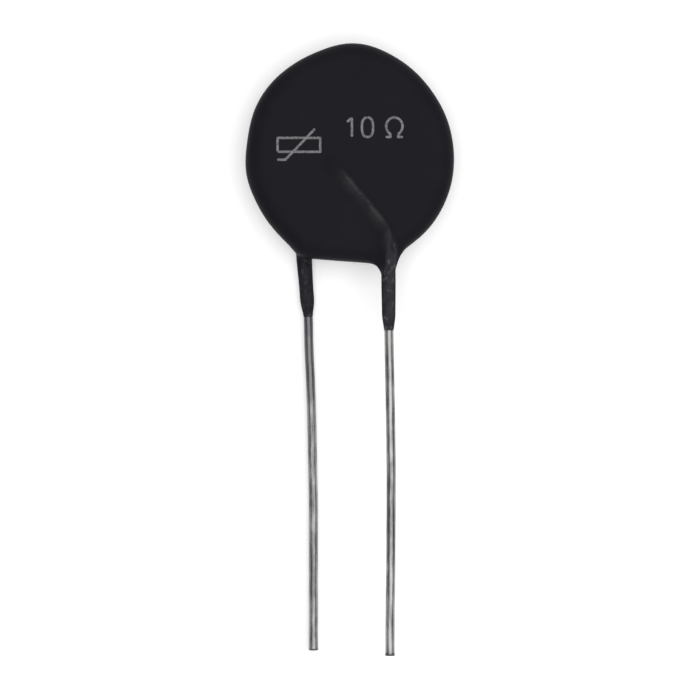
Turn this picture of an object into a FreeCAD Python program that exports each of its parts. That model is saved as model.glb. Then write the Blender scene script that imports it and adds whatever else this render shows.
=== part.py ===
import FreeCAD, Part
import math
import os

from FreeCAD import Vector

# NTC thermistor with two radial wires, lying on its back with its printed face up.
# All sizes are in millimetres and all angles in degrees.
# It is drawn in the disc frame: origin at the middle of the ceramic disc, X across the disc,
# Y from the wires towards the crown, Z out of the front face.

# Ceramic disc, measured over the silver fired on its two faces
ceramic_diameter = 20.4
ceramic_thickness = 3.04

# Tinned copper wires, soldered flat to the silvered faces
wire_diameter = 1.0
solder_bend_radius = 4.5

# Solder: a film under the wire, sloping flanks beside it and a round heap at each end
solder_film = 0.03
solder_foot_reach = 0.75
solder_crest_below_wire = 0.18
solder_crest_width = 0.5
solder_bare_stretch = 1.3

# Front wire: straight down through its neck, then a slight bow on the way to the tip
front_neck_x = 4.17
front_bend_inset = 1.94
front_ridge_lean = 39.5
front_ridge_length = 9.5
front_neck_length = 7.69
front_set_drop = 0.3
front_free_length = 34.98
front_bow_x = 4.52
front_bow_drop = 15.5
front_tip_x = 4.39

# Back wire: it leans inwards through its neck and straightens lower down
back_neck_x = -4.54
back_neck_lean = 4.1
back_bend_inset = 1.94
back_ridge_lean = 39.5
back_ridge_length = 9.5
back_neck_length = 5.96
back_set_drop = 0.4
back_free_length = 36.53
back_bow_x = -3.95
back_bow_drop = 16.5
back_tip_x = -3.94

# Dipped coat over the disc
solder_cover = 0.08
crown_cover = 2.16
chord_cover = 1.12
chord_tilt = 4.3
rim_flat = 0.45
chord_corner_more = 0.4

# Coat outline from the crown down each side, as tangent arcs.
# Each arc's radius is the ceramic's radius and the named difference, so the cover stays even.
crown_radius_less = 2.2
right_crown_sweep = 19.0
right_shoulder_radius_more = 2.7
right_shoulder_sweep = 63.0
right_side_radius_more = 1.5
right_side_sweep = 57.0
left_crown_sweep = 20.0
left_shoulder_radius_more = 4.3
left_shoulder_sweep = 20.0
left_side_radius_more = 1.6
left_side_sweep = 90.0

# Dipped coat over the wires: a ridge on each face, then a neck that thins out on the wire
wire_cover = 0.24
neck_tip_cover = 0.04
neck_taper = 1.5
front_root_fillet = 1.2
back_root_fillet = 0.5

# Worked out from the sizes above
ceramic_radius = ceramic_diameter / 2
wire_radius = wire_diameter / 2
silver_level = ceramic_thickness / 2
wire_level = silver_level + solder_film + wire_radius
solder_foot = wire_radius + solder_foot_reach
solder_height = solder_film + wire_diameter - solder_crest_below_wire
face_level = silver_level + solder_height + solder_cover
rim_radius = face_level - rim_flat
chord_corner_radius = rim_radius + chord_corner_more
crown_y = ceramic_radius + crown_cover
chord_y = -(ceramic_radius + chord_cover)
front_bend_y = -(ceramic_radius - front_bend_inset)
back_bend_y = -(ceramic_radius - back_bend_inset)
front_neck_tip_y = chord_y - front_neck_length
back_neck_tip_y = chord_y - back_neck_length
front_tip_y = front_neck_tip_y - front_free_length
back_tip_y = back_neck_tip_y - back_free_length
sleeve_radius = wire_radius + wire_cover
neck_tip_radius = wire_radius + neck_tip_cover

# The part's origin is under the middle of its box, on the surface that it lies on
lowest_y = min(front_tip_y, back_tip_y)
to_origin = Vector(0, -(crown_y + lowest_y) / 2, wire_level + sleeve_radius)

UP = Vector(0, 0, 1)


def heading(degrees):
    """Unit vector in the disc's plane, turned by this angle from +X."""
    return Vector(math.cos(math.radians(degrees)), math.sin(math.radians(degrees)), 0)


def crossing(point, along, other, other_along):
    """Where two lines in the disc's plane cross."""
    across = along.x * other_along.y - along.y * other_along.x
    gap = other - point
    return point + along * ((gap.x * other_along.y - gap.y * other_along.x) / across)


def rounded_corner(corner, into, out, radius):
    """First, middle and last point of the arc that rounds a corner between two directions."""
    half_turn = into.getAngle(out) / 2
    inward = (out - into).normalize()
    centre = corner + inward * (radius / math.cos(half_turn))
    first = corner - into * (radius * math.tan(half_turn))
    last = corner + out * (radius * math.tan(half_turn))
    return first, centre - inward * radius, last


def route_through(points, bend_radius):
    """Straight runs through the points. The first corner is the bend and gets an arc.
    The others turn by so little that their runs just meet."""
    into = (points[1] - points[0]).normalize()
    out = (points[2] - points[1]).normalize()
    first, middle, last = rounded_corner(points[1], into, out, bend_radius)
    edges = [Part.makeLine(points[0], first), Part.Arc(first, middle, last).toShape()]
    starts = [last, *points[2:-1]]
    edges += [Part.makeLine(start, finish) for start, finish in zip(starts, points[2:])]
    return edges


def closed_face(edges):
    """Flat face inside a closed run of edges, given in any order."""
    return Part.Face(Part.Wire(Part.__sortEdges__(edges)))


def front_route():
    """The front wire's centre line, from its soldered end to its tip."""
    bend = Vector(front_neck_x, front_bend_y, wire_level)
    end = bend + heading(90 + front_ridge_lean) * front_ridge_length
    leaves_neck = Vector(front_neck_x, front_neck_tip_y - front_set_drop, wire_level)
    bow = Vector(front_bow_x, front_neck_tip_y - front_bow_drop, wire_level)
    tip = Vector(front_tip_x, front_tip_y, wire_level)
    return route_through([end, bend, leaves_neck, bow, tip], solder_bend_radius)


def back_route():
    """The back wire's centre line, from its soldered end to its tip."""
    neck_tip = Vector(back_neck_x, back_neck_tip_y, -wire_level)
    along_neck = heading(back_neck_lean - 90)
    leaves_neck = neck_tip + along_neck * back_set_drop
    bend = neck_tip + along_neck * ((back_bend_y - back_neck_tip_y) / along_neck.y)
    end = bend + heading(90 - back_ridge_lean) * back_ridge_length
    bow = Vector(back_bow_x, back_neck_tip_y - back_bow_drop, -wire_level)
    tip = Vector(back_tip_x, back_tip_y, -wire_level)
    return route_through([end, bend, leaves_neck, bow, tip], solder_bend_radius)


def start_of(route):
    """A route's first point and the direction in which it leaves it."""
    first = route[0]
    return first.valueAt(first.FirstParameter), first.tangentAt(first.FirstParameter)


def sweep_round(edges, radius):
    """Round bar along edges, with mitred joints where they turn slightly."""
    start, direction = start_of(edges)
    section = Part.Wire(Part.makeCircle(radius, start, direction))
    mitred = 1
    return Part.Wire(edges).makePipeShell([section], True, False, mitred)


def make_ceramic_disc():
    """Pressed and sintered pellet with its silvered faces."""
    return Part.makeCylinder(ceramic_radius, ceramic_thickness, UP * -silver_level)


def make_solder(route, side, wire):
    """Solder along a wire's straight end: side is 1 on the front face and -1 on the back."""
    end, along = start_of(route)
    across = along.cross(UP).normalize()
    foot = Vector(end.x, end.y, side * silver_level)
    crest = foot + UP * (side * solder_height)
    length = route[0].Length - solder_bare_stretch

    def flank(hand):
        """Foot and crest of one sloping flank beside the wire."""
        return foot + across * (hand * solder_foot), crest + across * (hand * solder_crest_width / 2)

    left_foot, left_crest = flank(-1)
    right_foot, right_crest = flank(1)
    section = Part.makePolygon([left_foot, right_foot, right_crest, left_crest, left_foot])
    bead = Part.Face(section).extrude(along * length)
    half_section = Part.makePolygon([foot, right_foot, right_crest, crest, foot])
    near_heap = Part.Face(half_section).revolve(foot, UP, 360)
    far_heap = near_heap.copy()
    far_heap.translate(along * length)
    return bead.fuse([near_heap, far_heap]).cut(wire).removeSplitter()


def side_arcs(arcs, side):
    """Tangent arcs from the crown down one side: side is 1 for the right and -1 for the left.
    Returns the edges, the last point and the direction there."""
    point = Vector(0, crown_y, 0)
    turned = 0.0
    edges = []
    for radius, sweep in arcs:
        centre = point - heading(90 - turned) * radius
        middle = centre + heading(90 - turned - sweep / 2) * radius
        turned += sweep
        last = centre + heading(90 - turned) * radius
        ends = [Vector(side * p.x, p.y, 0) for p in (point, middle, last)]
        edges.append(Part.Arc(*ends).toShape())
        point = last
    direction = heading(-turned)
    return edges, Vector(side * point.x, point.y, 0), Vector(side * direction.x, direction.y, 0)


def coat_outline():
    """Edges of the coat's outline round the disc, with straight flanks down to the chord."""
    crown_arc_radius = ceramic_radius - crown_radius_less
    right_arcs = [
        (crown_arc_radius, right_crown_sweep),
        (ceramic_radius + right_shoulder_radius_more, right_shoulder_sweep),
        (ceramic_radius + right_side_radius_more, right_side_sweep),
    ]
    left_arcs = [
        (crown_arc_radius, left_crown_sweep),
        (ceramic_radius + left_shoulder_radius_more, left_shoulder_sweep),
        (ceramic_radius + left_side_radius_more, left_side_sweep),
    ]
    right, right_last, right_down = side_arcs(right_arcs, 1)
    left, left_last, left_down = side_arcs(left_arcs, -1)
    chord_middle = Vector(0, chord_y, 0)
    leftwards = heading(180 - chord_tilt)
    right_corner = crossing(right_last, right_down, chord_middle, leftwards)
    left_corner = crossing(left_last, left_down, chord_middle, leftwards)
    right_turn = rounded_corner(right_corner, right_down, leftwards, chord_corner_radius)
    left_turn = rounded_corner(left_corner, left_down, leftwards * -1, chord_corner_radius)
    lower = [
        Part.makeLine(right_last, right_turn[0]),
        Part.Arc(*right_turn).toShape(),
        Part.makeLine(right_turn[2], left_turn[2]),
        Part.Arc(*left_turn).toShape(),
        Part.makeLine(left_turn[0], left_last),
    ]
    return right + lower + left


def make_coat_body():
    """The coat round the disc alone: a slab of the outline with a deeply rounded rim."""
    face = closed_face(coat_outline())
    face.translate(UP * -face_level)
    slab = face.extrude(UP * (2 * face_level))
    rims = [edge for edge in slab.Edges if abs(abs(edge.CenterOfMass.z) - face_level) < 1e-6]
    return slab.makeFillet(rim_radius, rims)


def make_sleeve(route, neck_tip_y):
    """Coat along one wire: a round-ended ridge over the disc, then the neck and its thin tip."""
    end, along = start_of(route)
    neck_run = route[2]
    top = neck_run.valueAt(neck_run.FirstParameter)
    down = neck_run.tangentAt(neck_run.FirstParameter)
    neck_tip = top + down * ((neck_tip_y - top.y) / down.y)
    taper_start = neck_tip - down * neck_taper
    tube = sweep_round([*route[:2], Part.makeLine(top, taper_start)], sleeve_radius)
    round_end = Part.makeSphere(sleeve_radius, end, along)
    taper = Part.makeCone(sleeve_radius, neck_tip_radius, neck_taper, taper_start, down)
    return tube.fuse([round_end, taper]).removeSplitter()


def lies_on(edge, shape):
    """True if an edge lies on a shape's skin."""
    span = edge.LastParameter - edge.FirstParameter
    probes = [edge.valueAt(edge.FirstParameter + span * share) for share in (0.3, 0.7)]
    skin = shape.Shells[0]
    return all(Part.Vertex(probe).distToShape(skin)[0] < 1e-4 for probe in probes)


def blend_onto(body, sleeve, radius):
    """Join a sleeve to the coat and round the hollow edge where the two meet."""
    joined = body.fuse(sleeve)
    meeting = [edge for edge in joined.Edges if lies_on(edge, sleeve) and lies_on(edge, body)]
    return joined.makeFillet(radius, meeting)


def make_coating(front, back, core):
    """One dipped skin: the rounded body and both sleeves, hollowed by what it covers."""
    skin = make_coat_body()
    skin = blend_onto(skin, make_sleeve(front, front_neck_tip_y), front_root_fillet)
    skin = blend_onto(skin, make_sleeve(back, back_neck_tip_y), back_root_fillet)
    return skin.cut(core)


def main():
    front = front_route()
    back = back_route()
    pieces = {
        "ceramic_disc": make_ceramic_disc(),
        "front_lead": sweep_round(front, wire_radius),
        "back_lead": sweep_round(back, wire_radius),
    }
    pieces["front_solder"] = make_solder(front, 1, pieces["front_lead"])
    pieces["back_solder"] = make_solder(back, -1, pieces["back_lead"])
    pieces["coating"] = make_coating(front, back, list(pieces.values()))

    os.makedirs("parts", exist_ok=True)
    for name, shape in pieces.items():
        placed = shape.copy()
        placed.translate(to_origin)
        placed.exportStep(os.path.join("parts", name + ".step"))
        print(name, "solids", len(placed.Solids), "faces", len(placed.Faces), "valid", placed.isValid())


main()
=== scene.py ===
"""Looks of a disc thermistor in a dipped black coat, lying flat with its printed face up.

Shapes are worked out in millimetres in the disc frame: origin at the middle of the ceramic disc,
X across the disc, Y from the wires towards the crown, Z out of the printed face. They become metres
in the part's own frame when a piece is made.
"""

import math

import bpy
import numpy as np
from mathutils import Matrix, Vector


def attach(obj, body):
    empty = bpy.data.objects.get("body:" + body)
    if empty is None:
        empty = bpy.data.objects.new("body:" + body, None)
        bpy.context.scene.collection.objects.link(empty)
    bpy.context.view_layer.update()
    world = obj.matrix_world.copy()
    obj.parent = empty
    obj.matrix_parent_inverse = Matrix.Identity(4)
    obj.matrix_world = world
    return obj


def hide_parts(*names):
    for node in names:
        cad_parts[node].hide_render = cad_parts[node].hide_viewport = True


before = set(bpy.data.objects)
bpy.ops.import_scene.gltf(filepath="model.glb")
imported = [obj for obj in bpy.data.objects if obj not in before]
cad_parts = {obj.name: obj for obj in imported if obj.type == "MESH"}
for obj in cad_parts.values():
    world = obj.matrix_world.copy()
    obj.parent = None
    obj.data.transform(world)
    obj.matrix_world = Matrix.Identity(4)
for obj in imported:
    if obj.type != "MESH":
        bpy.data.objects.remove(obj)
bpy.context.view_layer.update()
random = np.random.default_rng(41)

# Sizes, in millimetres

DISC_FRAME_IN_PART = np.array([0.0, 20.815, 2.79])
UP = np.array([0.0, 0.0, 1.0])
WIRE_RADIUS = 0.5
WIRE_LEVEL = 2.05
REST_LEVEL = -2.79
REST_SOFTNESS = 0.06

# Coat round the disc, whose rim is a quarter circle above and below a short flat
RIM_RADIUS = 2.0
RIM_FLAT = 0.45
CROWN_Y = 12.36
CHORD_Y = -11.39
CHORD_TILT = 4.3
CHORD_CORNER_RADIUS = 2.4
CHORD_CORNER_POINTS = 40

# Outline from the crown down each side: radius and sweep of each tangent arc
RIGHT_ARCS = [(8.0, 19.0), (12.9, 63.0), (11.7, 57.0)]
LEFT_ARCS = [(8.0, 20.0), (14.5, 20.0), (11.8, 90.0)]
ARC_POINTS = 60

# Unevenness of the dipped outline: how far it stands out, at angles round the disc from +X
OUTLINE_UNEVEN = [
    (-60, 0.0), (-50, 0.09), (-20, 0.12), (0, 0.07), (20, 0.07), (40, 0.01), (60, 0.01), (90, -0.07),
    (101, -0.18), (120, -0.07), (150, 0.03), (171, -0.14), (190, 0.08), (205, 0.05), (228, 0.10), (236, 0.0),
]

# Slight unevenness of the dipped skin: lengths of its waves, and how far each one stands out
RIPPLE_LENGTHS = (1.3, 1.7, 2.2, 3.0, 3.6)
RIPPLE_SIZE = 0.007

# Centre lines of the wires: ridge end, corner of the bend, then X at heights down to the tip
FRONT_RIDGE_END = (-1.87, -0.93)
FRONT_BEND = (4.17, -8.26)
FRONT_RUN = [
    (-10.5, 4.20), (-14.0, 4.23), (-18.5, 4.26), (-20.3, 4.29), (-24.0, 4.36), (-29.5, 4.46),
    (-33.5, 4.51), (-37.1, 4.51), (-41.3, 4.48), (-45.7, 4.45), (-51.1, 4.39), (-53.99, 4.38),
]
BACK_RIDGE_END = (0.86, -0.93)
BACK_BEND = (-5.19, -8.26)
BACK_RUN = [
    (-10.5, -4.99), (-14.0, -4.735), (-17.3, -4.51), (-20.5, -4.43), (-24.4, -4.26), (-29.9, -4.09),
    (-33.1, -4.03), (-37.5, -3.955), (-42.0, -3.945), (-47.0, -3.945), (-53.81, -3.94),
]
BEND_RADIUS = 4.5
BEND_POINTS = 11
RUN_POINTS = 220

# Half-width of the coat on each wire, at distances up from the neck's tip
FRONT_NECK_TIP_Y = -18.86
FRONT_SLEEVE = [
    (0.0, 0.50), (0.1, 0.525), (0.6, 0.60), (1.4, 0.71), (2.5, 0.73), (7.8, 0.74), (10.0, 0.69),
    (12.5, 0.62), (16.0, 0.60), (18.8, 0.52), (20.6, 0.42),
]
BACK_NECK_TIP_Y = -17.42
BACK_SLEEVE = [
    (0.0, 0.49), (0.1, 0.51), (0.5, 0.56), (1.0, 0.66), (1.7, 0.755), (3.0, 0.77), (4.5, 0.80),
    (5.6, 0.845), (6.5, 0.87), (8.5, 0.72), (12.0, 0.63), (15.5, 0.61), (17.5, 0.52), (19.2, 0.42),
]
SLEEVE_SPACING = 1.5

# Width of the hollow between each sleeve and the disc, and how much wider it gets round the front neck's root
FRONT_HOLLOW = 1.0
FRONT_ROOT_MORE = 1.3
FRONT_ROOT_Y = -8.8
FRONT_ROOT_FADE = 1.6
FRONT_ROOT_TOP = WIRE_LEVEL + 0.3
FRONT_ROOT_TOP_FADE = 0.8
BACK_HOLLOW = 0.8

# Each neck's surface takes over from the body's inside a cone about the wire, which opens out down the neck.
# In there the body's skin lies deeper: from a margin inside the cone's edge, over a rise of the cosine
CONE_ANGLE = 54.0
CONE_ABOVE_CHORD = 1.7
CONE_OPENS_OVER = 4.5
SET_BACK = 0.25
SET_BACK_MARGIN = 9
SET_BACK_FADE = 0.12

# Rows of a neck: they crowd towards its root, and those past its tip are held at the tip
NECK_LINE_SPACING = 0.02
NECK_CROWDING = 1.25
NECK_PAST_TIP = 0.35
NECK_TUCK = 0.004
LIP_INWARDS = 0.35
LIP_DOWN = 0.03
LIP_POLE_DOWN = 0.01

# Rays that seek the coat's level: how far out they start, and how many rounds they get
BODY_RAY_START = RIM_RADIUS + 1.6
BODY_ROUNDS = 14
POLE_ROUNDS = 30
NECK_RAY_START = 3.4
NECK_ROUNDS = 24
INK_RAY_START = RIM_RADIUS + 0.6
INK_ROUNDS = 20


def to_part(points):
    """Points of the disc frame, in mm, as points of the part's own frame, in metres."""
    return (points + DISC_FRAME_IN_PART) * 0.001


# Curves


def eased(places, knots):
    """Curve through knots (place, value): cubic pieces whose slopes are the knots' own mean slopes."""
    at, value = np.array(sorted(knots)).T
    slope = np.gradient(value, at)
    piece = np.clip(np.searchsorted(at, places) - 1, 0, len(at) - 2)
    width = at[piece + 1] - at[piece]
    share = np.clip((places - at[piece]) / width, 0, 1)
    return (
        value[piece] * (1 + 2 * share) * (1 - share) ** 2
        + value[piece + 1] * share**2 * (3 - 2 * share)
        + width * (slope[piece] * share * (1 - share) ** 2 - slope[piece + 1] * share**2 * (1 - share))
    )


def gentle(value):
    """Rises from 0 to 1 as the value does, with level ends."""
    value = np.clip(value, 0, 1)
    return value * value * (3 - 2 * value)


def heading(degrees):
    """Unit direction in the disc's plane, turned by this angle from +X."""
    return np.array([math.cos(math.radians(degrees)), math.sin(math.radians(degrees))])


def rounded_corner(corner, into, out, radius, steps):
    """Points of the arc that rounds a corner between two directions."""
    half_turn = math.acos(np.clip(into @ out, -1, 1)) / 2
    inward = (out - into) / np.linalg.norm(out - into)
    centre = corner + inward * radius / math.cos(half_turn)
    along = (into + out) / np.linalg.norm(into + out)
    turn = np.linspace(-half_turn, half_turn, steps)[:, None]
    return centre + radius * (along * np.sin(turn) - inward * np.cos(turn))


def run_length(points):
    """Distance travelled along a run of points, up to each of them."""
    steps = np.linalg.norm(np.diff(points, axis=0), axis=1)
    return np.concatenate([[0.0], np.cumsum(steps)])


def at_places(places, travelled, points):
    """Points at these places along a run, where each point of the run has its own place in travelled."""
    return np.column_stack([np.interp(places, travelled, axis) for axis in points.T])


def evenly(points, spacing):
    """The same run of points with even spacing."""
    travelled = run_length(points)
    places = np.linspace(0, travelled[-1], int(travelled[-1] / spacing) + 1)
    return at_places(places, travelled, points)


def wire_path(ridge_end, bend, run, level):
    """Centre line of a wire: straight ridge, round bend, then the eased run down to its tip."""
    ridge_end, bend = np.array(ridge_end), np.array(bend)
    neck_top = np.array([run[0][1], run[0][0]])
    into = (bend - ridge_end) / np.linalg.norm(bend - ridge_end)
    out = (neck_top - bend) / np.linalg.norm(neck_top - bend)
    arc = rounded_corner(bend, into, out, BEND_RADIUS, BEND_POINTS)
    heights = np.linspace(run[0][0], run[-1][0], RUN_POINTS)
    lower = np.column_stack([eased(heights, run), heights])
    flat = np.vstack([ridge_end, arc, lower])
    return np.column_stack([flat, np.full(len(flat), level)])


def covered_path(path, tip_y):
    """The stretch of a wire's path that the coat covers: its ridge and bend, then even steps down to
    the neck's tip."""
    ridge_and_bend, below = path[: 1 + BEND_POINTS], path[1 + BEND_POINTS :]
    heights = np.linspace(below[0, 1], tip_y, int((below[0, 1] - tip_y) / SLEEVE_SPACING) + 1)
    return np.vstack([ridge_and_bend, at_places(-heights, -below[:, 1], below)])


# The coat as a level


def coat_outline(count):
    """Outline of the coat round the disc, evenly spaced, with its outward directions.
    Tangent arcs run down each side from the crown. Straight flanks and rounded corners lead to the chord."""

    def side(arcs, hand):
        points = np.array([[0.0, CROWN_Y]])
        turned = 0.0
        for radius, sweep in arcs:
            centre = points[-1] - heading(90 - turned) * radius
            angle = np.radians(90 - turned - np.linspace(0, sweep, ARC_POINTS)[1:])
            points = np.vstack([points, centre + radius * np.column_stack([np.cos(angle), np.sin(angle)])])
            turned += sweep
        mirror = np.array([hand, 1.0])
        return points * mirror, heading(-turned) * mirror

    right, right_down = side(RIGHT_ARCS, 1)
    left, left_down = side(LEFT_ARCS, -1)
    leftwards = heading(180 - CHORD_TILT)
    middle = np.array([0.0, CHORD_Y])

    def turn_to_chord(last, down, along_chord):
        travel = np.linalg.solve(np.column_stack([down, -leftwards]), middle - last)
        corner = last + down * travel[0]
        return rounded_corner(corner, down, along_chord, CHORD_CORNER_RADIUS, CHORD_CORNER_POINTS)

    right_turn = turn_to_chord(right[-1], right_down, leftwards)
    left_turn = turn_to_chord(left[-1], left_down, -leftwards)
    loop = np.vstack([right, right_turn, left_turn[::-1], left[::-1]])
    travelled = run_length(loop)
    outline = at_places(np.linspace(0, travelled[-1], count, endpoint=False), travelled, loop)
    along = np.roll(outline, -1, axis=0) - np.roll(outline, 1, axis=0)
    outward = np.column_stack([-along[:, 1], along[:, 0]])
    outward /= np.linalg.norm(outward, axis=1)[:, None]
    round_disc = (np.degrees(np.arctan2(outline[:, 1], outline[:, 0])) + 90) % 360 - 90
    return outline + outward * eased(round_disc, OUTLINE_UNEVEN)[:, None], outward


def rim_distance(points, outline, outward, at_a_time=4000):
    """How far each point lies outside the coat round the disc, whose rim is a quarter circle above and
    below a short flat: the nearest place of the outline gives the distance in the disc's plane."""
    beyond = np.empty(len(points))
    for part in np.array_split(np.arange(len(points)), max(1, len(points) // at_a_time)):
        gaps = points[part, None, :2] - outline[None]
        nearest = np.argmin((gaps**2).sum(axis=2), axis=1)
        gap = points[part, :2] - outline[nearest]
        beyond[part] = (gap * outward[nearest]).sum(axis=1)
    across = beyond + RIM_RADIUS
    above = np.abs(points[:, 2]) - RIM_FLAT
    outside = np.hypot(np.maximum(across, 0), np.maximum(above, 0))
    return outside + np.minimum(np.maximum(across, above), 0) - RIM_RADIUS


def path_distance(points, path):
    """Distance from each point to a path, how far along the path the nearest place is, and how far the
    point lies to the right of it, seen from above."""
    travelled = run_length(path)
    nearest = np.full(len(points), np.inf)
    place, side = np.zeros(len(points)), np.zeros(len(points))
    for start, finish, before in zip(path[:-1], path[1:], travelled):
        piece = finish - start
        length = np.linalg.norm(piece)
        share = np.clip((points - start) @ piece / length**2, 0, 1)
        away = points - start - share[:, None] * piece
        gap = np.linalg.norm(away, axis=1)
        closer = gap < nearest
        nearest = np.where(closer, gap, nearest)
        place = np.where(closer, before + share * length, place)
        side = np.where(closer, (away[:, 1] * piece[0] - away[:, 0] * piece[1]) / length, side)
    return nearest, place, side


class Sleeve:
    """Coat along one wire: its half-width is eased between values given up from the neck's tip."""

    def __init__(self, path, tip_y, widths, hollow):
        self.path = covered_path(path, tip_y)
        self.length = run_length(self.path)[-1]
        self.widths = widths
        self.hollow = hollow

    def distance(self, points):
        """How far each point lies outside the sleeve."""
        gap, place, _ = path_distance(points, self.path)
        return gap - eased(self.length - place, self.widths)


def front_hollow(points):
    """Width of the hollow beside the front wire: wide round the neck's root, narrower along the ridge."""
    low = gentle((FRONT_ROOT_Y - points[:, 1]) / FRONT_ROOT_FADE)
    root = low * gentle((FRONT_ROOT_TOP - points[:, 2]) / FRONT_ROOT_TOP_FADE)
    return FRONT_HOLLOW + root * FRONT_ROOT_MORE


def back_hollow(points):
    """Width of the hollow beside the back wire: narrow all along."""
    return np.full(len(points), BACK_HOLLOW)


def smooth_union(first, second, blend):
    """The lesser of two distances, rounded where they differ by less than the blend."""
    share = np.maximum(blend - np.abs(first - second), 0) / blend
    return np.minimum(first, second) - share**2 * blend / 4


RIPPLES = [(random.normal(size=3) / length, random.uniform(0, 6.28)) for length in RIPPLE_LENGTHS]


def ripple(points):
    """Slight unevenness of the dipped skin: a few long waves that cross each other."""
    return sum(RIPPLE_SIZE * np.sin(points @ wave + phase) for wave, phase in RIPPLES)


def coat_level(points, body_distance):
    """Below zero inside the coat: the smooth union of the coated disc and both sleeves, softly cut off
    where it would reach below the surface that the part lies on."""
    level = body_distance
    for sleeve in SLEEVES:
        level = smooth_union(level, sleeve.distance(points), sleeve.hollow(points))
    return -smooth_union(-level - ripple(points), points[:, 2] - REST_LEVEL, REST_SOFTNESS)


def settle(origins, directions, start, level, rounds):
    """Where rays that come in from a start meet the level: each round moves by the level itself."""
    reach = np.full(len(origins), start)
    for _ in range(rounds):
        reach -= level(origins + directions * reach[:, None], reach)
    return origins + directions * reach[:, None], reach


# Meshes


def lap_faces(rows, columns, first):
    """Quads between neighbouring closed rows of a grid, as corner numbers counted from first."""
    row, column = np.meshgrid(np.arange(rows - 1), np.arange(columns), indexing="ij")
    here = row * columns + column
    ahead = row * columns + (column + 1) % columns
    return first + np.stack([here, ahead, ahead + columns, here + columns], axis=-1).reshape(-1, 4)


def closed_surface(rows, start_pole, end_pole):
    """Corners and faces of a grid of closed rows, with a pole at each end and its faces outwards."""
    count, columns = rows.shape[:2]
    points = np.vstack([start_pole[None], rows.reshape(-1, 3), end_pole[None]])
    quads = lap_faces(count, columns, 1)
    column = np.arange(columns)
    ahead = (column + 1) % columns
    last = 1 + (count - 1) * columns
    start_fan = np.column_stack([np.zeros(columns, int), 1 + ahead, 1 + column])
    end_fan = np.column_stack([np.full(columns, len(points) - 1), last + column, last + ahead])
    first, second, third, fourth = (points[quads[:, corner]] for corner in range(4))
    volume = (first * np.cross(second, third)).sum() + (first * np.cross(third, fourth)).sum()
    if volume < 0:
        quads, start_fan, end_fan = quads[:, ::-1], start_fan[:, ::-1], end_fan[:, ::-1]
    return points, [quads, start_fan, end_fan]


def add_piece(name, surfaces, material, marks=None):
    """One smooth object from one or more surfaces, riding on the part's body. Marks are functions that
    give each corner a number, for the material to read by the mark's name."""
    points = np.vstack([corners for corners, _ in surfaces])
    faces, first = [], 0
    for corners, blocks in surfaces:
        for block in blocks:
            faces += (first + block).tolist()
        first += len(corners)
    mesh = bpy.data.meshes.new(name)
    mesh.from_pydata(to_part(points).tolist(), [], faces)
    mesh.shade_smooth()
    mesh.materials.append(material)
    for mark, value in (marks or {}).items():
        attribute = mesh.attributes.new(mark, "FLOAT", "POINT")
        attribute.data.foreach_set("value", value(points).astype(np.float32))
    piece = bpy.data.objects.new(name, mesh)
    bpy.context.scene.collection.objects.link(piece)
    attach(piece, "root")
    return piece


# Materials


class Signal:
    """A socket of a material. Arithmetic on it adds Math nodes."""

    def __init__(self, tree, socket):
        self.tree, self.socket = tree, socket

    def combine(self, operation, left, right):
        """A Math node on two signals, or on a signal and a number."""
        node = self.tree.nodes.new("ShaderNodeMath")
        node.operation = operation
        for slot, value in zip(node.inputs, (left, right)):
            plug(self.tree, slot, value)
        return Signal(self.tree, node.outputs[0])

    def __add__(self, other):
        return self.combine("ADD", self, other)

    __radd__ = __add__

    def __sub__(self, other):
        return self.combine("SUBTRACT", self, other)

    def __rsub__(self, other):
        return self.combine("SUBTRACT", other, self)

    def __mul__(self, other):
        return self.combine("MULTIPLY", self, other)

    __rmul__ = __mul__


def plug(tree, slot, value):
    """Link a signal to a socket, or set the socket's own value."""
    if isinstance(value, Signal):
        tree.links.new(value.socket, slot)
    else:
        slot.default_value = value


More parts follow.
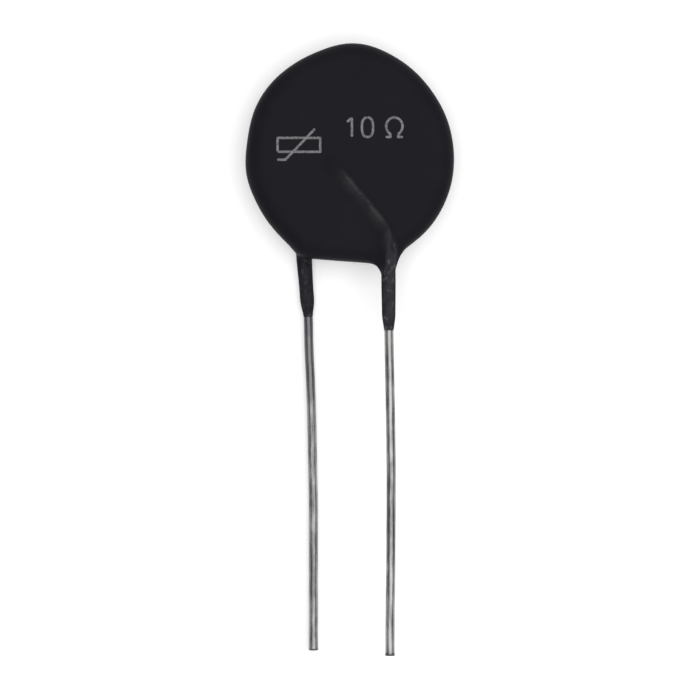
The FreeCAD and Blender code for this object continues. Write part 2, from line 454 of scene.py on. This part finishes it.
class Finish:
    """A material in the making, with one way to add any node."""

    def __init__(self, name, pale=(0.5, 0.5, 0.5, 1.0)):
        self.material = bpy.data.materials.new(name)
        self.material.use_nodes = True
        self.material.diffuse_color = pale
        self.tree = self.material.node_tree
        self.tree.nodes.clear()

    def node(self, kind, settings=None, sockets=None, output=0):
        """Add a node: settings first, then the values or signals of its sockets. It gives the signal of one
        output, or a list of signals where output is a list."""
        made = self.tree.nodes.new("ShaderNode" + kind)
        for name, value in (settings or {}).items():
            setattr(made, name, value)
        for name, value in (sockets or {}).items():
            plug(self.tree, made.inputs[name], value)
        if isinstance(output, list):
            return [Signal(self.tree, made.outputs[each]) for each in output]
        return Signal(self.tree, made.outputs[output])

    def coordinates(self):
        """Object coordinates, in metres."""
        return self.node("TexCoord", output="Object")

    def across_and_along(self):
        """X and Y of the object coordinates, in metres."""
        return self.node("SeparateXYZ", {}, {0: self.coordinates()}, output=[0, 1])

    def noise(self, scale, detail=3.0, roughness=0.5):
        """Soft noise of this scale along each axis, per metre."""
        stretched = self.node("Mapping", {}, {"Vector": self.coordinates(), "Scale": scale})
        sockets = {"Vector": stretched, "Scale": 1.0, "Detail": detail, "Roughness": roughness}
        return self.node("TexNoise", {}, sockets)

    def ramp(self, factor, low, high):
        """Rises from 0 to 1 as the factor goes from low to high, with level ends."""
        sockets = {"Value": factor, "From Min": low, "From Max": high}
        return self.node("MapRange", {"interpolation_type": "SMOOTHSTEP"}, sockets)

    def blend(self, factor, first, second):
        """Colour that goes from first to second with the factor."""
        return self.node("Mix", {"data_type": "RGBA"}, {0: factor, 6: first, 7: second}, output=2)

    def bump(self, height, strength, distance):
        """Normal that is tilted by a height."""
        return self.node("Bump", {}, {"Height": height, "Strength": strength, "Distance": distance})

    def surface(self, shader):
        """The finished material, with this shader on its surface."""
        self.node("OutputMaterial", {}, {"Surface": shader}, output=[])
        return self.material

    def principled(self, sockets):
        """The finished material, with a Principled shader on its surface."""
        return self.surface(self.node("BsdfPrincipled", {}, sockets))


# Marks of the coat's corners, in mm: distance from the wire's centre line, way along it from the ridge's
# end, and how far to the right of it
WIRE_MARKS = ["wire_gap", "wire_run", "wire_side"]

# Where the coat's finish and its painted highlights change, in mm along the wire from its ridge's end
RIDGE_BEGINS = (0.5, 2.2)
CREST_FADES = (10, 12)
HIGHLIGHT_LINE_FADES = (7.5, 11.5)
NECK_BEGINS = (9.4, 12.8)
NECK_TONE_CENTRES = (11.5, 15.0)

# Where the wires' finish changes, in metres along Y of the part's own frame
TIP_ENDS = (-0.03305, -0.03270)
BACK_DULL = (-0.0085, -0.0025)
BACK_FILM = (0.00115, 0.00140)
FRONT_WARM = (-0.0012, -0.0004)

# From the back wire's side, on the left, to the front wire's side, on the right, in metres along X
BACK_TO_FRONT = (-0.001, 0.001)


def resin_black():
    """Dipped resin: near black with little gloss. It is thin and greyer on the necks, where grains of filler
    show as specks, and their tone also paints light: lighter down their middles, set off to the right near
    the root, so that their flanks stay dark. Painted highlights lie along each ridge: a soft band that peaks
    on its right flank, and a broken grey line to the right of its crest."""
    black, soft_black = (0.0125, 0.0119, 0.0152, 1), (0.0142, 0.0135, 0.0170, 1)
    # The crest's lighter black is a painted highlight; the necks' thin resin tone is partly painted light.
    crest_highlight_black, thin_resin_and_highlight = (0.0262, 0.0255, 0.0282, 1), (0.0385, 0.0370, 0.0440, 1)
    # The grey of the broken line along each ridge is a painted highlight.
    painted_highlight_grey, filler_grey = (0.043, 0.0425, 0.046, 1), (0.085, 0.085, 0.09, 1)
    resin = Finish("dipped_black_resin")
    gap, run, side = (resin.node("Attribute", {"attribute_name": mark}, output="Fac") for mark in WIRE_MARKS)
    x, _ = resin.across_and_along()
    cloud = resin.noise((260, 260, 260), 3.0)
    grain = resin.noise((2600, 2600, 2600), 4.0, 0.6)
    blotch = resin.noise((900, 600, 900), 3.0, 0.6)
    dimple = resin.noise((900, 900, 900), 2.0)
    speck = resin.ramp(resin.noise((1700, 1300, 1700), 2.0), 0.52, 0.70)
    near = 1 - resin.ramp(gap, 0.9, 1.5)

    # Necks: thin greyer resin, with painted light: lighter down the middle, centred 0.36 mm right of the wire
    # near the root, so the flanks stay dark; stronger on the front neck.
    off_centre = side - (1 - resin.ramp(run, *NECK_TONE_CENTRES)) * 0.36
    middle = 1 - resin.ramp(off_centre * off_centre, 0.06, 0.62)
    stronger_in_front = 0.56 + resin.ramp(x, *BACK_TO_FRONT) * 0.61
    neck = resin.ramp(run, *NECK_BEGINS) * near * middle * stronger_in_front

    ridge = near * resin.ramp(run, *RIDGE_BEGINS)
    # A soft band that peaks on each ridge's right flank and fades leftwards over the crest is a painted
    # highlight, made blotchy.
    crest = ridge * (1 - resin.ramp(run, *CREST_FADES))
    crest = crest * resin.ramp(side, -1.4, 0.5) * (1 - resin.ramp(side, 0.30, 0.75))
    wavy = side + (blotch - 0.5) * 0.25 + (grain - 0.5) * 0.12
    # The broken grey line to the right of each ridge's crest is a painted highlight of its lit flank.
    line = ridge * (1 - resin.ramp(run, *HIGHLIGHT_LINE_FADES))
    line = line * resin.ramp(wavy, 0.0, 0.34) * (1 - resin.ramp(wavy, 0.38, 0.72))
    broken = resin.ramp(grain * 0.45 + blotch * 0.55, 0.34, 0.60)

    colour = resin.blend(resin.ramp(cloud, 0.3, 0.7), black, soft_black)
    colour = resin.blend(crest * (0.4 + resin.ramp(blotch, 0.35, 0.65) * 0.6), colour, crest_highlight_black)
    # The necks' thin greyer resin, partly painted light down their middles.
    colour = resin.blend(neck * (0.45 + resin.ramp(blotch, 0.38, 0.62) * 0.55), colour, thin_resin_and_highlight)
    colour = resin.blend(line * broken, colour, painted_highlight_grey)
    colour = resin.blend(speck * neck * 0.8, colour, filler_grey)
    return resin.principled({
        "Base Color": colour,
        "Roughness": 0.38 + resin.ramp(grain, 0.3, 0.7) * 0.08,
        "Specular IOR Level": 0.025,
        "Normal": resin.bump(grain * 0.55 + dimple * 0.8 + speck * neck, 0.16, 0.00002),
    })


def tinned_wire():
    """Tin-dipped copper wire: dull metal with bright and dark streaks drawn out along it, a dark film of
    resin just under the back neck, and darker sheared tips."""
    dark_tin, bright_tin = (0.14, 0.14, 0.145, 1), (0.40, 0.40, 0.395, 1)
    dull_tin, warm_tin = (0.13, 0.13, 0.135, 1), (0.33, 0.33, 0.305, 1)
    resin_film, sheared_tip = (0.125, 0.126, 0.140, 1), (0.08, 0.08, 0.08, 1)
    tin = Finish("tinned_wire")
    streak = tin.noise((2600, 140, 2600), 3.0, 0.55)
    patch = tin.noise((1300, 420, 1300), 3.0, 0.55)
    x, y = tin.across_and_along()
    back = 1 - tin.ramp(x, *BACK_TO_FRONT)

    colour = tin.blend(tin.ramp(streak * 0.55 + patch * 0.45, 0.37, 0.63), dark_tin, bright_tin)
    colour = tin.blend(tin.ramp(y, *BACK_DULL) * back * 0.85, colour, dull_tin)
    colour = tin.blend(tin.ramp(y, *BACK_FILM) * back * 0.85, colour, resin_film)
    colour = tin.blend(tin.ramp(y, *FRONT_WARM) * (1 - back) * 0.45, colour, warm_tin)
    colour = tin.blend((1 - tin.ramp(y, *TIP_ENDS)) * 0.75, colour, sheared_tip)
    return tin.principled({
        "Base Color": colour,
        "Metallic": 1.0,
        "Roughness": 0.17 + tin.ramp(patch, 0.35, 0.65) * 0.16,
        "Specular Tint": (0.75, 0.75, 0.75, 1),
        "Normal": tin.bump(streak * 0.6 + patch * 0.9, 0.22, 0.00006),
    })


def marking_ink():
    """Pad-printed grey ink, a little thin and grainy."""
    ink = Finish("marking_ink")
    cover = ink.ramp(ink.noise((3200, 3200, 3200), 3.0, 0.6), 0.30, 0.62)
    colour = ink.blend(cover, (0.10, 0.10, 0.105, 1), (0.215, 0.215, 0.225, 1))
    return ink.principled({"Base Color": colour, "Roughness": 0.6, "Specular IOR Level": 0.2})


def sintered_ceramic():
    """Dark grey sintered oxide with fine grain."""
    ceramic = Finish("sintered_ceramic")
    grain = ceramic.noise((4000, 4000, 4000), 3.0)
    colour = ceramic.blend(grain, (0.055, 0.052, 0.050, 1), (0.085, 0.080, 0.076, 1))
    return ceramic.principled({"Base Color": colour, "Roughness": 0.62})


def solder_tin():
    """Solder that froze with a slightly frosted skin."""
    solder = Finish("solder_tin")
    frost = solder.noise((1800, 1800, 1800), 3.0)
    colour = solder.blend(frost, (0.42, 0.42, 0.42, 1), (0.58, 0.58, 0.57, 1))
    return solder.principled({"Base Color": colour, "Metallic": 1.0, "Roughness": 0.3 + frost * 0.12})


# The dipped coat

front_path = wire_path(FRONT_RIDGE_END, FRONT_BEND, FRONT_RUN, WIRE_LEVEL)
back_path = wire_path(BACK_RIDGE_END, BACK_BEND, BACK_RUN, -WIRE_LEVEL)
SLEEVES = [
    Sleeve(front_path, FRONT_NECK_TIP_Y, FRONT_SLEEVE, front_hollow),
    Sleeve(back_path, BACK_NECK_TIP_Y, BACK_SLEEVE, back_hollow),
]


def cone_apex(sleeve):
    """Point on the wire a little above the chord, and the direction down the neck there."""
    row = np.argmin(np.abs(sleeve.path[:, 1] - (CHORD_Y + CONE_ABOVE_CHORD)))
    down = sleeve.path[row + 1] - sleeve.path[row]
    return sleeve.path[row], down / np.linalg.norm(down)


def set_back(points):
    """How far the body's skin lies under the necks' skins: nothing outside their cones."""
    depth = np.zeros(len(points))
    edge = math.cos(math.radians(CONE_ANGLE - SET_BACK_MARGIN))
    for sleeve in SLEEVES:
        apex, down = cone_apex(sleeve)
        away = points - apex
        toward = away @ down / np.maximum(np.linalg.norm(away, axis=1), 1e-9)
        depth += SET_BACK * np.clip((toward - edge) / SET_BACK_FADE, 0, 1)
    return depth


def body_surface(columns, face_rows, rim_rows):
    """The coat round the disc as a grid: columns round the outline, rows from the middle of the face
    over the rim to the middle of the back. Each corner is where a ray out of the rim's centre line
    meets the level."""
    outline, outward = coat_outline(columns)
    core = outline - outward * RIM_RADIUS
    front_tilt = np.concatenate([np.full(face_rows, 90.0), np.linspace(90, 0, rim_rows)[1:]])
    front_share = np.concatenate([np.linspace(0, 1, face_rows + 1)[1:], np.ones(rim_rows - 1)])
    tilt = np.radians(np.concatenate([front_tilt, -front_tilt[::-1]]))[:, None, None]
    share = np.concatenate([front_share, front_share[::-1]])[:, None, None]
    lift = np.repeat([RIM_FLAT, -RIM_FLAT], len(front_share))[:, None, None]
    rows = len(share)

    def grid_of(flat, height):
        return np.concatenate([flat, np.broadcast_to(height, (rows, columns, 1))], axis=2).reshape(-1, 3)

    def level(points, reach):
        return coat_level(points, reach - RIM_RADIUS) + set_back(points)

    origins = grid_of(core[None] * share, lift)
    directions = grid_of(outward[None] * np.cos(tilt), np.sin(tilt))
    points, _ = settle(origins, directions, BODY_RAY_START, level, BODY_ROUNDS)
    middles = np.array([UP, -UP])
    poles, _ = settle(middles * RIM_FLAT, middles, BODY_RAY_START, level, POLE_ROUNDS)
    return closed_surface(points.reshape(rows, columns, 3), poles[0], poles[1])


def neck_surface(sleeve, around, rows, outline, outward):
    """One neck as a grid: rays from the wire's centre line, which fan out as a cone at the root and
    stand square to the wire lower down, meet the level. The last rows close inside the wire."""
    apex, down = cone_apex(sleeve)
    below_apex = sleeve.path[sleeve.path[:, 1] < apex[1] - 0.05]
    line = evenly(np.vstack([apex, below_apex]), NECK_LINE_SPACING)
    travelled = run_length(line)
    places = np.linspace(0, 1, rows) ** NECK_CROWDING * (travelled[-1] + NECK_PAST_TIP)
    lean = np.radians(CONE_ANGLE + (90 - CONE_ANGLE) * np.clip(places / CONE_OPENS_OVER, 0, 1))
    lean = lean[:, None, None]
    origin = at_places(np.minimum(places, travelled[-1]), travelled, line)
    turn = np.linspace(0, 2 * math.pi, around, endpoint=False)
    side = np.cross(down, UP)
    side /= np.linalg.norm(side)
    ring = np.outer(np.cos(turn), side) + np.outer(np.sin(turn), UP)
    directions = np.cos(lean) * down + np.sin(lean) * ring[None]
    origins = np.broadcast_to(origin[:, None, :], directions.shape)

    def level(points, reach):
        return coat_level(points, rim_distance(points, outline, outward))

    rays = origins.reshape(-1, 3), directions.reshape(-1, 3)
    _, reach = settle(*rays, NECK_RAY_START, level, NECK_ROUNDS)
    reach = reach.reshape(rows, around)
    reach[0] -= NECK_TUCK
    points = origins + directions * reach[:, :, None]
    lip = points[-1] + (origins[-1] - points[-1]) * LIP_INWARDS + down * LIP_DOWN
    return closed_surface(np.concatenate([points, lip[None]]), apex, origin[-1] + down * LIP_POLE_DOWN)


def coat_surfaces():
    """The coat round the disc and both necks. The necks need only the outline's lower part."""
    outline, outward = coat_outline(count=1440)
    low = outline[:, 1] < -5
    necks = [neck_surface(sleeve, 80, 104, outline[low], outward[low]) for sleeve in SLEEVES]
    return [body_surface(columns=576, face_rows=50, rim_rows=20)] + necks


def by_wire(measure):
    """A mark of the coat's corners: one of path_distance's measures, of the wire on the corner's own side
    of the disc."""

    def value(points):
        front, back = (path_distance(points, sleeve.path)[measure] for sleeve in SLEEVES)
        beside_back = (points[:, 2] < 0) | ((points[:, 1] < CHORD_Y) & (points[:, 0] < 0))
        return np.where(beside_back, back, front)

    return value


coat_marks = {mark: by_wire(measure) for measure, mark in enumerate(WIRE_MARKS)}
coat = add_piece("dipped_coat", coat_surfaces(), resin_black(), coat_marks)
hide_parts("coating")


# The wires

RING_SPACING = 0.2
WIRE_BEVEL = 0.045
WIRE_WAVINESS = 0.004
WIRE_FLATS = 14
PINCHED_LENGTH = 0.5
PINCHED_WIDER = 0.09
PINCHED_LOWER = 0.12


def wire_surface(path, around):
    """A wire: a circle carried along its centre line, with slight waviness, shallow flats left by the
    bending tool, and a bevel at each end. The sheared end is pinched a little flat."""
    travelled = run_length(path)
    length = travelled[-1]
    places = np.linspace(WIRE_BEVEL, length - WIRE_BEVEL, int(length / RING_SPACING))
    places = np.concatenate([[0.0], places, [length]])
    line = at_places(places, travelled, path)
    along = np.gradient(line, places, axis=0)
    along /= np.linalg.norm(along, axis=1)[:, None]
    side = np.cross(along, UP)
    turn = np.linspace(0, 2 * math.pi, around, endpoint=False)[None]
    places = places[:, None]
    wave = np.sin(places * 1.9 + 2 * np.sin(turn))
    radius = WIRE_RADIUS - WIRE_WAVINESS + WIRE_WAVINESS * wave * np.sin(2 * turn + places * 0.23)
    for _ in range(WIRE_FLATS):
        place, facing = random.uniform(10, length), random.uniform(0, 2 * math.pi)
        reach, depth = random.uniform(0.3, 1.4), random.uniform(0.008, 0.022)
        near = np.exp(-(((places - place) / reach) ** 2))
        radius = radius - depth * near * np.clip(np.cos(turn - facing) * 2 - 1, 0, 1)
    radius[[0, -1]] -= WIRE_BEVEL
    pinch = gentle((places - length + PINCHED_LENGTH) / PINCHED_LENGTH)
    wide = radius * (1 + PINCHED_WIDER * pinch) * np.cos(turn)
    high = radius * (1 - PINCHED_LOWER * pinch) * np.sin(turn)
    rows = line[:, None] + wide[:, :, None] * side[:, None] + high[:, :, None] * UP
    return closed_surface(rows, line[0], line[-1])


tin = tinned_wire()
for name, path in (("front", front_path), ("back", back_path)):
    wire = add_piece(name + "_wire", [wire_surface(path, around=40)], tin)
    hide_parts(name + "_lead")


# The printed marking

INK_WIDTH = 0.27
INK_LIFT = 0.012
INK_SPACING = 0.04
NUMERAL_HEIGHT = 2.1
NUMERAL_MIDDLE = 3.05


def on_face(places):
    """Points of the coat's face over places in the disc's plane."""
    origins = np.column_stack([places, np.full(len(places), RIM_FLAT)])
    directions = np.tile(UP, (len(places), 1))

    def level(points, reach):
        return coat_level(points, reach - RIM_RADIUS)

    return settle(origins, directions, INK_RAY_START, level, INK_ROUNDS)[0]


def ink_stroke(points, around=12):
    """A stroke of ink: a low rounded strip carried along a line on the coat's face, with round ends."""
    line = evenly(np.array(points, float), INK_SPACING)
    travelled = run_length(line)
    along = np.gradient(line, axis=0)
    along /= np.linalg.norm(along, axis=1)[:, None]
    side = np.column_stack([-along[:, 1], along[:, 0]])
    to_end = np.minimum(travelled, travelled[-1] - travelled)
    half = INK_WIDTH / 2
    fullness = np.sqrt(np.clip(1 - np.clip(1 - to_end / half, 0, 1) ** 2, 0.02, 1))
    phase = random.uniform(0, 2 * math.pi)
    rough = 1 + 0.06 * np.sin(travelled * 9 + phase) * np.sin(travelled * 4.1 + 2 * phase)
    turn = np.linspace(0, 2 * math.pi, around, endpoint=False)
    across = (half * fullness * rough)[:, None] * np.cos(turn)[None]
    places = line[:, None] + across[:, :, None] * side[:, None]
    rows = on_face(places.reshape(-1, 2)).reshape(len(line), around, 3)
    rows[:, :, 2] += INK_LIFT * np.sin(turn)[None] * fullness[:, None]
    return closed_surface(rows, rows[0].mean(axis=0), rows[-1].mean(axis=0))


def numeral_one(x, y, height):
    """Strokes of a 1: an upright with a short flag."""
    top = y + height / 2
    return [[(x + 0.12, top), (x + 0.12, y - height / 2)], [(x + 0.10, top - 0.02), (x - 0.42, top - 0.5)]]


def numeral_nought(x, y, height, width, squareness=0.8):
    """Stroke of a 0: a narrow rounded loop, whose cosine and sine are raised to a power, the squareness."""
    turn = np.radians(np.linspace(90, 450, 90))
    across, upwards = np.cos(turn), np.sin(turn)
    return [np.column_stack([
        x + width / 2 * np.sign(across) * np.abs(across) ** squareness,
        y + height / 2 * np.sign(upwards) * np.abs(upwards) ** squareness,
    ])]


def ohm_sign(x, y, height):
    """Stroke of an ohm sign: an open ring that stands on two short feet."""
    bottom, ring_height = y - height / 2, 0.9 * height
    turn = np.radians(np.linspace(-58, 238, 60))
    ring = np.column_stack([
        x + 0.88 * np.cos(turn),
        y + (height - ring_height) / 2 + ring_height / 2 * np.sin(turn),
    ])
    right_foot = [(x + 0.95, bottom), (x + 0.40, bottom)]
    left_foot = [(x - 0.40, bottom), (x - 0.95, bottom)]
    return [np.vstack([right_foot, ring, left_foot])]


def thermistor_symbol(x, y, width, height):
    """Strokes of the circuit symbol: a resistor's box, and a slanted line with a foot that crosses it."""
    left, right = x - width / 2, x + width / 2
    bottom, top = y - height / 2, y + height / 2
    box = [(left, bottom), (left, top), (right, top), (right, bottom), (left, bottom)]
    slant = [(x - 2.35, y - 1.6), (x - 1.45, y - 1.6), (x + 1.75, y + 1.75)]
    return [box, slant]


def marking_strokes():
    """The resistance in plain numerals, and the circuit symbol for a thermistor."""
    height, middle = NUMERAL_HEIGHT, NUMERAL_MIDDLE
    return (
        numeral_one(0.15, middle, height)
        + numeral_nought(1.95, middle, height, 1.2)
        + ohm_sign(4.85, middle, height)
        + thermistor_symbol(-5.45, 1.15, 4.6, 1.5)
    )


marking = add_piece("printed_marking", [ink_stroke(points) for points in marking_strokes()], marking_ink())


# Pieces inside the coat

ceramic, solder = sintered_ceramic(), solder_tin()
for name, material in (("ceramic_disc", ceramic), ("front_solder", solder), ("back_solder", solder)):
    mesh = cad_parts[name].data
    mesh.materials.clear()
    mesh.materials.append(material)


# Floor, light and camera, in metres

FLOOR_HALF = 1.5
WORLD_STRENGTH = 0.44
LAMP_PLACE = (0.07, 0.0, 0.50)
LAMP_WIDTH = 0.80
LAMP_LENGTH = 0.70
LAMP_POWER = 2.4
LAMP_COLOUR = (0.98, 0.98, 1.0)
CAMERA_PLACE = (0.000065, -0.000163, 0.31982)


def pale_floor():
    """Plain pale floor that shows white round the object and keeps its shadow."""
    floor = Finish("pale_floor", (0.9, 0.9, 0.9, 1))
    plain = floor.node("BsdfDiffuse", {}, {"Color": (0.86, 0.86, 0.86, 1)})
    glow = floor.node("Emission", {}, {"Color": (1, 1, 1, 1), "Strength": 0.32})
    lifted = floor.node("AddShader", {}, {0: plain, 1: glow})
    rays = ["Is Camera Ray", "Is Glossy Ray", "Is Transmission Ray"]
    camera, glossy, transmitted = floor.node("LightPath", output=rays)
    seen = camera + glossy + transmitted
    return floor.surface(floor.node("MixShader", {}, {0: seen, 1: plain, 2: lifted}))


def add_floor():
    """A wide square on the surface that the part lies on."""
    half = FLOOR_HALF
    corners = [(-half, -half, 0), (half, -half, 0), (half, half, 0), (-half, half, 0)]
    mesh = bpy.data.meshes.new("floor")
    mesh.from_pydata(corners, [], [(0, 1, 2, 3)])
    mesh.materials.append(pale_floor())
    floor = bpy.data.objects.new("floor", mesh)
    bpy.context.scene.collection.objects.link(floor)


def add_world():
    """Dim even surroundings."""
    world = bpy.data.worlds.new("studio")
    world.use_nodes = True
    background = world.node_tree.nodes["Background"]
    background.inputs["Color"].default_value = (1, 1, 1, 1)
    background.inputs["Strength"].default_value = WORLD_STRENGTH
    bpy.context.scene.world = world


def add_lamp():
    """One broad soft oblong lamp that faces the object, with its length along Y."""
    lamp = bpy.data.lights.new("key_lamp", "AREA")
    lamp.shape = "RECTANGLE"
    lamp.size, lamp.size_y = LAMP_WIDTH, LAMP_LENGTH
    lamp.energy = LAMP_POWER
    lamp.color = LAMP_COLOUR
    made = bpy.data.objects.new("key_lamp", lamp)
    made.location = LAMP_PLACE
    made.rotation_euler = (-Vector(LAMP_PLACE)).to_track_quat("-Z", "Y").to_euler()
    bpy.context.scene.collection.objects.link(made)


def add_camera():
    """Looks straight down on the printed face, with its lens and sensor width in mm."""
    camera = bpy.data.cameras.new("camera")
    camera.lens = 150
    camera.sensor_width = 36
    camera.clip_start = 0.01
    made = bpy.data.objects.new("camera", camera)
    made.location = CAMERA_PLACE
    bpy.context.scene.collection.objects.link(made)
    bpy.context.scene.camera = made


add_floor()
add_world()
add_lamp()
add_camera()
bpy.context.scene.view_settings.view_transform = "Standard"
